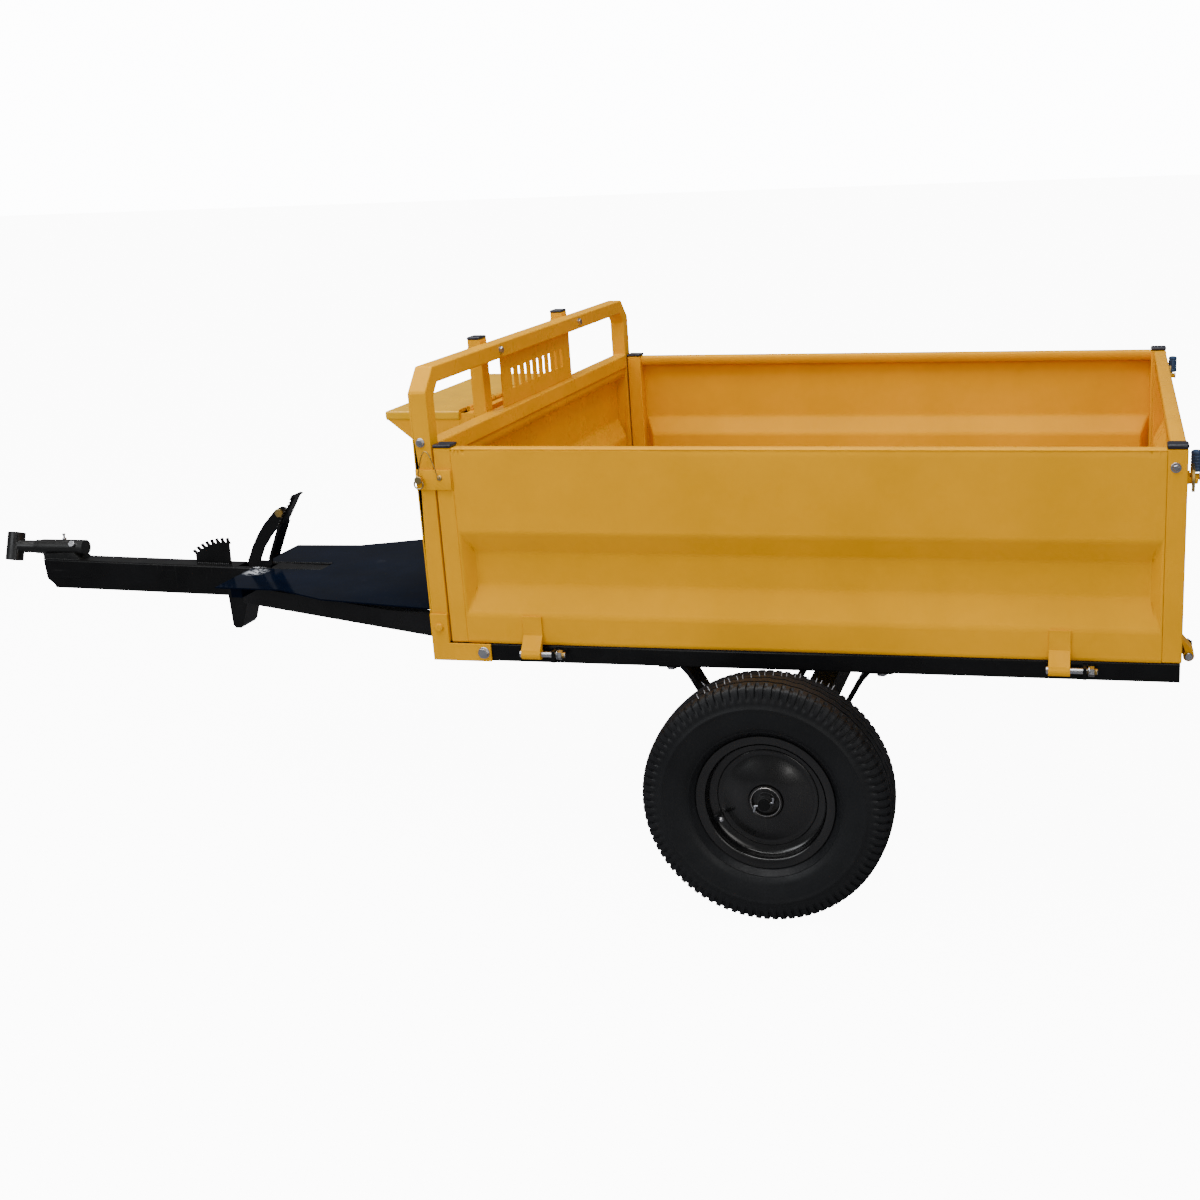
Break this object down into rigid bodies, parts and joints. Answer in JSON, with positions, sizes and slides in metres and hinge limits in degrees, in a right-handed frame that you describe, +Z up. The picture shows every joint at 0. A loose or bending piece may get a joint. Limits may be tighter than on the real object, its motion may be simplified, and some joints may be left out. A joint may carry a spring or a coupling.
{
  "type": "tow behind cart",
  "caption": "Two-wheeled towed dropside cart with a central drawbar, swivelling hitch eye, seat box on the headboard and foot brake.",
  "frame": {"origin": "ground under the middle of the overall box", "axes": "+X forward towards the hitch, +Y to the cart's left, +Z up"},
  "size_m": [2.5575, 1.352, 0.926],
  "materials": {
    "yellow_paint": "gloss powder coat",
    "black_paint": "semi-gloss enamel",
    "footplate_black": "high gloss",
    "tyre_rubber": "matte",
    "cap_plastic": "satin",
    "zinc_steel": "zinc plated",
    "yellow_zinc": "yellow passivated zinc",
    "bare_steel": "oily steel",
    "brake_lining": "matte"
  },
  "bodies": {
    "chassis": {"drawbar_beam": "black_paint", "drawbar_arm_left": "black_paint", "drawbar_arm_right": "black_paint", "rest_foot": "black_paint", "footplate": "footplate_black", "hitch_housing": "black_paint", "hitch_fittings": "zinc_steel", "brake_quadrant": "black_paint", "pedal_pin": "zinc_steel", "side_rails": "black_paint", "cross_members": "black_paint", "floor_sheet": "yellow_paint", "axle_beam": "black_paint", "axle_hangers": "black_paint", "frame_bolts": "zinc_steel", "backing_plates": "black_paint", "castle_nuts": "zinc_steel", "headboard_frame": "yellow_paint", "headboard_panel": "yellow_paint", "backrest_plate": "yellow_paint", "seat_stakes": "yellow_paint", "stake_caps": "cap_plastic", "seat_box": "yellow_paint", "corner_brackets": "yellow_paint", "hinge_lugs": "black_paint", "hinge_bolts": "zinc_steel"},
    "hitch": {"hitch_eye": "black_paint"},
    "pedal": {"brake_pedal": "black_paint", "pedal_bolt": "yellow_zinc"},
    "pawl": {"pedal_pawl": "black_paint"},
    "rod": {"brake_rod": "bare_steel"},
    "camshaft": {"brake_camshaft": "bare_steel"},
    "shoe_upper_left": {"upper_shoe_left": "brake_lining"},
    "shoe_lower_left": {"lower_shoe_left": "brake_lining"},
    "shoe_upper_right": {"upper_shoe_right": "brake_lining"},
    "shoe_lower_right": {"lower_shoe_right": "brake_lining"},
    "lid": {"seat_lid": "yellow_paint"},
    "side_left": {"dropside_left": "yellow_paint", "side_stiles_left": "yellow_paint", "side_straps_left": "yellow_paint", "side_fittings_left": "cap_plastic", "lanyard_left": "yellow_zinc"},
    "side_right": {"dropside_right": "yellow_paint", "side_stiles_right": "yellow_paint", "side_straps_right": "yellow_paint", "side_fittings_right": "cap_plastic", "lanyard_right": "yellow_zinc"},
    "gate": {"tailgate_panel": "yellow_paint", "tailgate_stiles": "yellow_paint", "tailgate_straps": "yellow_paint"},
    "gate_latch_left": {"latch_left": "yellow_zinc"},
    "gate_latch_right": {"latch_right": "yellow_zinc"},
    "side_pin_left": {"lock_pin_left": "yellow_zinc"},
    "side_pin_right": {"lock_pin_right": "yellow_zinc"},
    "wheel_left": {"tyre_left": "tyre_rubber", "rim_left": "black_paint", "hub_left": "bare_steel"},
    "wheel_right": {"tyre_right": "tyre_rubber", "rim_right": "black_paint", "hub_right": "bare_steel"}
  },
  "joints": [
    {"name": "wheel_left_spin", "type": "hinge", "parent": "chassis", "child": "wheel_left", "pos_m": [-0.59875, 0.623, 0.21], "axis": [0, 1, 0], "continuous": true},
    {"name": "wheel_right_spin", "type": "hinge", "parent": "chassis", "child": "wheel_right", "pos_m": [-0.59875, -0.623, 0.21], "axis": [0, 1, 0], "continuous": true},
    {"name": "hitch_swivel", "type": "hinge", "parent": "chassis", "child": "hitch", "pos_m": [1.26025, 0, 0.44402], "axis": [1, 0, 0], "range_deg": [-60, 60]},
    {"name": "brake_pedal", "type": "hinge", "parent": "chassis", "child": "pedal", "pos_m": [0.65925, 0, 0.39296], "axis": [0, 1, 0], "range_deg": [0, 20]},
    {"name": "parking_pawl", "type": "hinge", "parent": "pedal", "child": "pawl", "pos_m": [0.58725, 0, 0.53196], "axis": [0, -1, 0], "range_deg": [0, 45]},
    {"name": "brake_rod_push", "type": "slide", "parent": "chassis", "child": "rod", "axis": [-0.997, 0, -0.0776], "range_m": [0, 0.0106]},
    {"name": "camshaft_turn", "type": "hinge", "parent": "chassis", "child": "camshaft", "pos_m": [-0.53675, 0, 0.21], "axis": [0, -1, 0], "range_deg": [0, 10.2]},
    {"name": "upper_shoe_left_open", "type": "hinge", "parent": "chassis", "child": "shoe_upper_left", "pos_m": [-0.66075, 0.579, 0.22], "axis": [0, -1, 0], "range_deg": [0, 0.82]},
    {"name": "lower_shoe_left_open", "type": "hinge", "parent": "chassis", "child": "shoe_lower_left", "pos_m": [-0.66075, 0.579, 0.2], "axis": [0, 1, 0], "range_deg": [0, 0.82]},
    {"name": "upper_shoe_right_open", "type": "hinge", "parent": "chassis", "child": "shoe_upper_right", "pos_m": [-0.66075, -0.579, 0.22], "axis": [0, -1, 0], "range_deg": [0, 0.82]},
    {"name": "lower_shoe_right_open", "type": "hinge", "parent": "chassis", "child": "shoe_lower_right", "pos_m": [-0.66075, -0.579, 0.2], "axis": [0, 1, 0], "range_deg": [0, 0.82]},
    {"name": "seat_lid_open", "type": "hinge", "parent": "chassis", "child": "lid", "pos_m": [0.04925, 0, 0.788], "axis": [0, -1, 0], "range_deg": [0, 95]},
    {"name": "side_left_fold", "type": "hinge", "parent": "chassis", "child": "side_left", "pos_m": [-0.59875, 0.576, 0.428], "axis": [-1, 0, 0], "range_deg": [0, 95]},
    {"name": "side_right_fold", "type": "hinge", "parent": "chassis", "child": "side_right", "pos_m": [-0.59875, -0.576, 0.428], "axis": [1, 0, 0], "range_deg": [0, 95]},
    {"name": "tailgate_fold", "type": "hinge", "parent": "chassis", "child": "gate", "pos_m": [-1.26975, 0, 0.428], "axis": [0, -1, 0], "range_deg": [0, 170]},
    {"name": "latch_left_swing", "type": "hinge", "parent": "gate", "child": "gate_latch_left", "pos_m": [-1.26475, 0.515, 0.73], "axis": [1, 0, 0], "range_deg": [0, 90]},
    {"name": "latch_right_swing", "type": "hinge", "parent": "gate", "child": "gate_latch_right", "pos_m": [-1.26475, -0.515, 0.73], "axis": [-1, 0, 0], "range_deg": [0, 90]},
    {"name": "side_pin_left_pull", "type": "slide", "parent": "side_left", "child": "side_pin_left", "axis": [0, 1, 0], "range_m": [0, 0.04]},
    {"name": "side_pin_right_pull", "type": "slide", "parent": "side_right", "child": "side_pin_right", "axis": [0, -1, 0], "range_m": [0, 0.04]}
  ],
  "couplings": [
    {"joint": "brake_rod_push", "follows": "brake_pedal", "m_per_rad": 0.03},
    {"joint": "camshaft_turn", "follows": "brake_pedal", "ratio": 0.5},
    {"joint": "upper_shoe_left_open", "follows": "brake_pedal", "ratio": 0.04},
    {"joint": "upper_shoe_right_open", "follows": "brake_pedal", "ratio": 0.04},
    {"joint": "lower_shoe_left_open", "follows": "brake_pedal", "ratio": 0.04},
    {"joint": "lower_shoe_right_open", "follows": "brake_pedal", "ratio": 0.04}
  ]
}
